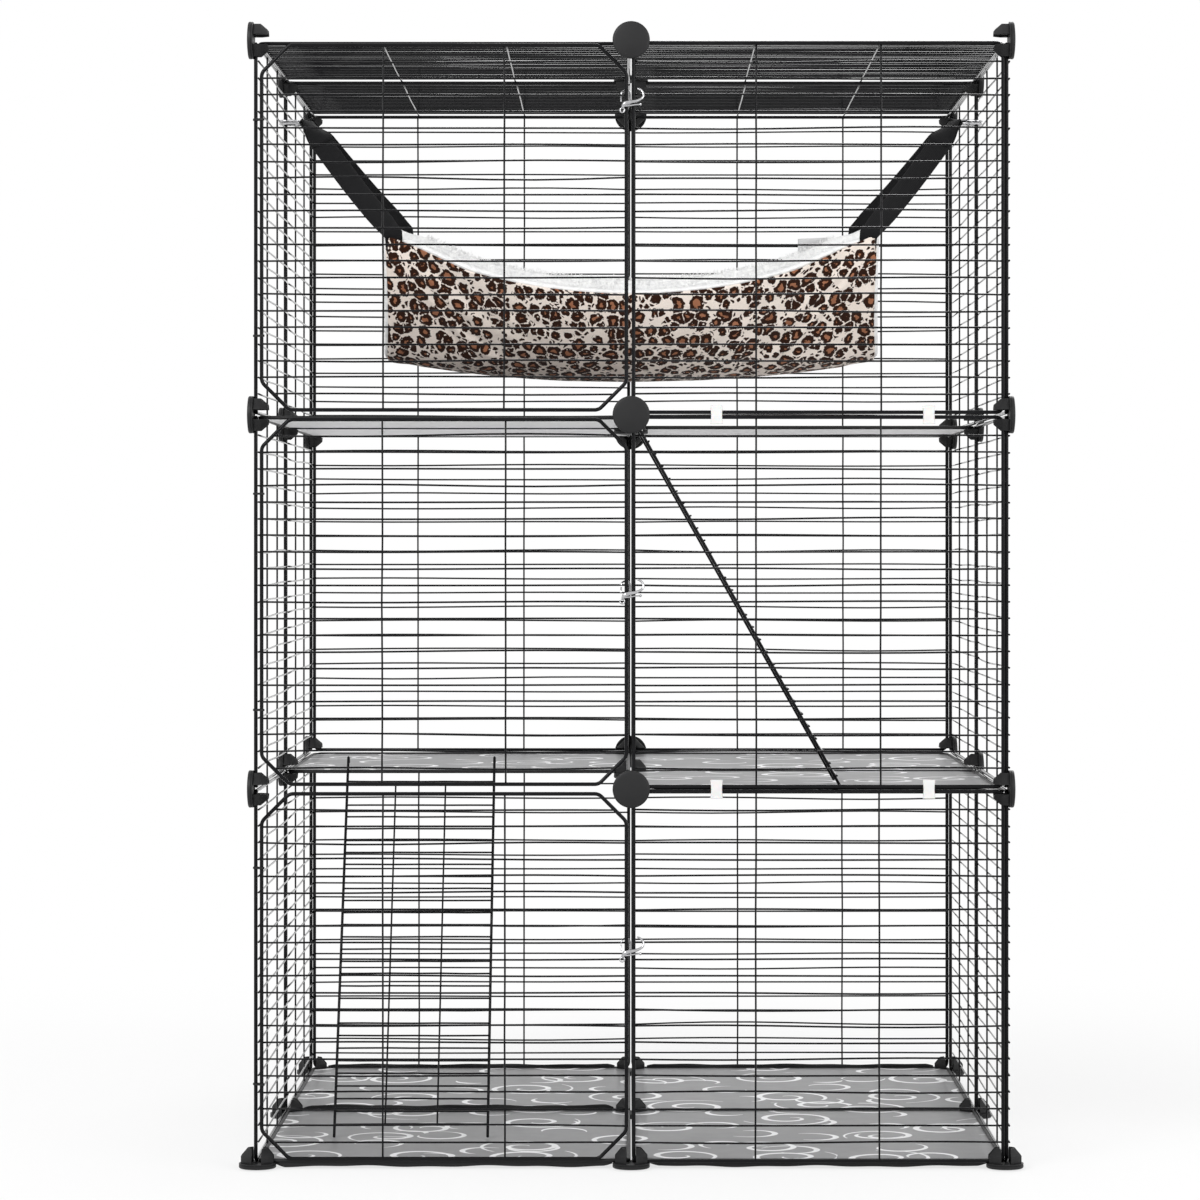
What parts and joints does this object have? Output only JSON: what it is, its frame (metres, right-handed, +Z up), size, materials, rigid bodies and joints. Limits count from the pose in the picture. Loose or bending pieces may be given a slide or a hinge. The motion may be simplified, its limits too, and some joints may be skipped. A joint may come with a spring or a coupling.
{
  "type": "cat cage",
  "caption": "Modular wire-grid cat cage in stacked tiers with swing doors, plastic trays as floors, hook-on wire ramps and a hanging plush hammock.",
  "frame": {"origin": "middle of the footprint, on the floor", "axes": "+X to the right seen from the front, +Y to the back, +Z up"},
  "size_m": [0.736, 0.736, 1.076],
  "materials": {
    "wire": "glossy black coating on steel wire",
    "connector": "satin black moulded plastic",
    "tray": "glossy grey sheet with pale curls",
    "print_fabric": "short plush with a leopard print",
    "fleece": "white fleece",
    "webbing": "black webbing",
    "bright_metal": "bright nickel plating",
    "white_clip": "satin white moulded plastic"
  },
  "bodies": {
    "cage": {"back_panel_left_lower": "wire", "back_panel_left_middle": "wire", "back_panel_left_upper": "wire", "back_panel_right_lower": "wire", "back_panel_right_middle": "wire", "back_panel_right_upper": "wire", "base_connectors": "connector", "centre_connectors": "connector", "door_hinge_clips": "connector", "floor_tray_frames": "wire", "floor_tray_front_left": "tray", "floor_tray_front_right": "tray", "floor_tray_rear_left": "tray", "floor_tray_rear_right": "tray", "front_panel_lower": "wire", "front_panel_middle": "wire", "front_panel_upper": "wire", "hammock_hooks": "bright_metal", "hammock_lining": "fleece", "hammock_shell": "print_fabric", "hammock_strap_front_left": "webbing", "hammock_strap_front_right": "webbing", "hammock_strap_rear_left": "webbing", "hammock_strap_rear_right": "webbing", "left_panel_front_lower": "wire", "left_panel_front_middle": "wire", "left_panel_front_upper": "wire", "left_panel_rear_lower": "wire", "left_panel_rear_middle": "wire", "left_panel_rear_upper": "wire", "lower_shelf_front_right": "tray", "lower_shelf_rear_left": "tray", "lower_shelf_rear_right": "tray", "panel_clips": "white_clip", "right_panel_front_lower": "wire", "right_panel_front_middle": "wire", "right_panel_front_upper": "wire", "right_panel_rear_lower": "wire", "right_panel_rear_middle": "wire", "right_panel_rear_upper": "wire", "shelf_tray_frames": "wire", "top_panel_front_left": "wire", "top_panel_front_right": "wire", "top_panel_rear_left": "wire", "top_panel_rear_right": "wire", "upper_shelf_front_left": "tray", "upper_shelf_rear_left": "tray", "upper_shelf_rear_right": "tray", "wall_connectors": "connector"},
    "lower_door": {"lower_door": "wire", "lower_latch": "bright_metal"},
    "lower_latch_gate": {"lower_latch_gate": "bright_metal"},
    "lower_ramp": {"lower_ramp": "wire"},
    "middle_door": {"middle_door": "wire", "middle_latch": "bright_metal"},
    "middle_latch_gate": {"middle_latch_gate": "bright_metal"},
    "upper_door": {"upper_door": "wire", "upper_latch": "bright_metal"},
    "upper_latch_gate": {"upper_latch_gate": "bright_metal"},
    "upper_ramp": {"upper_ramp": "wire"}
  },
  "joints": [
    {"name": "lower_door_swing", "type": "hinge", "parent": "cage", "child": "lower_door", "pos_m": [-0.3465, -0.3523, 0.181], "axis": [0, 0, -1], "range_deg": [0, 110]},
    {"name": "middle_door_swing", "type": "hinge", "parent": "cage", "child": "middle_door", "pos_m": [-0.3465, -0.3523, 0.532], "axis": [0, 0, -1], "range_deg": [0, 110]},
    {"name": "upper_door_swing", "type": "hinge", "parent": "cage", "child": "upper_door", "pos_m": [-0.3465, -0.3523, 0.883], "axis": [0, 0, -1], "range_deg": [0, 110]},
    {"name": "lower_gate_pivot", "type": "hinge", "parent": "lower_door", "child": "lower_latch_gate", "pos_m": [-0.00875, -0.3512, 0.20326], "axis": [-0.2588, 0, 0.9659], "range_deg": [0, 20], "stiffness_Nm_per_rad": 0.02, "springref_deg": -11.46},
    {"name": "middle_gate_pivot", "type": "hinge", "parent": "middle_door", "child": "middle_latch_gate", "pos_m": [-0.00875, -0.3512, 0.53866], "axis": [-0.2588, 0, 0.9659], "range_deg": [0, 20], "stiffness_Nm_per_rad": 0.02, "springref_deg": -11.46},
    {"name": "upper_gate_pivot", "type": "hinge", "parent": "upper_door", "child": "upper_latch_gate", "pos_m": [-0.00875, -0.3512, 0.99886], "axis": [-0.2588, 0, 0.9659], "range_deg": [0, 20], "stiffness_Nm_per_rad": 0.02, "springref_deg": -11.46},
    {"name": "lower_ramp_lift", "type": "hinge", "parent": "cage", "child": "lower_ramp", "pos_m": [-0.214, 0.0023, 0.3538], "axis": [-1, 0, 0], "range_deg": [0, 25]},
    {"name": "upper_ramp_lift", "type": "hinge", "parent": "cage", "child": "upper_ramp", "pos_m": [-0.0023, -0.259, 0.7048], "axis": [0, -1, 0], "range_deg": [0, 25]}
  ]
}
